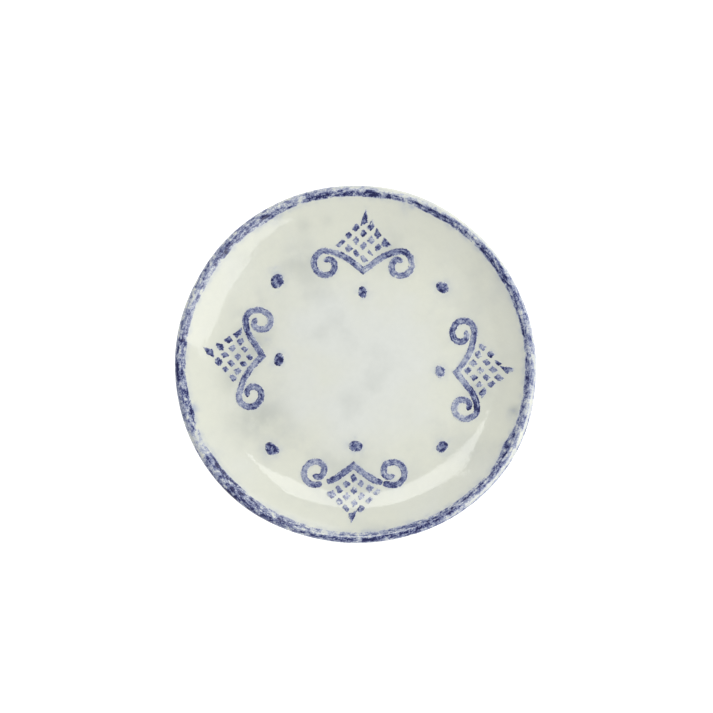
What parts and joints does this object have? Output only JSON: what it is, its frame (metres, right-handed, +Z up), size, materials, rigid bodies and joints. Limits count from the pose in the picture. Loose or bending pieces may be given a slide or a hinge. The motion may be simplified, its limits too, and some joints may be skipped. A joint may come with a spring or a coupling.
{
  "type": "plate",
  "caption": "Shallow round coupe plate with a rounded lip and a foot ring, white glazed and hand painted in blue with scroll and lattice motifs and a rim band.",
  "frame": {"origin": "centre of the foot ring's resting face", "axes": "+Z up through the plate's centre, +Y towards the north motif"},
  "size_m": [0.22, 0.22, 0.023],
  "materials": {
    "clay": "matt unglazed fired clay",
    "tin_glaze": "glossy cream white tin glaze with faint grey clouding",
    "cobalt": "glossy mottled cobalt blue, fired into the glaze"
  },
  "bodies": {
    "root": {"clay_body": "clay", "foot_ring": "clay", "glaze_coat": "tin_glaze", "recess_glaze": "tin_glaze", "rim_band": "cobalt", "north_scroll_left": "cobalt", "north_scroll_right": "cobalt", "north_lattice": "cobalt", "north_dot": "cobalt", "west_scroll_left": "cobalt", "west_scroll_right": "cobalt", "west_lattice": "cobalt", "west_dot": "cobalt", "south_scroll_left": "cobalt", "south_scroll_right": "cobalt", "south_lattice": "cobalt", "south_dot": "cobalt", "east_scroll_left": "cobalt", "east_scroll_right": "cobalt", "east_lattice": "cobalt", "east_dot": "cobalt", "northwest_dot": "cobalt", "northeast_dot": "cobalt", "southwest_dot": "cobalt", "southeast_dot": "cobalt"}
  },
  "joints": []
}
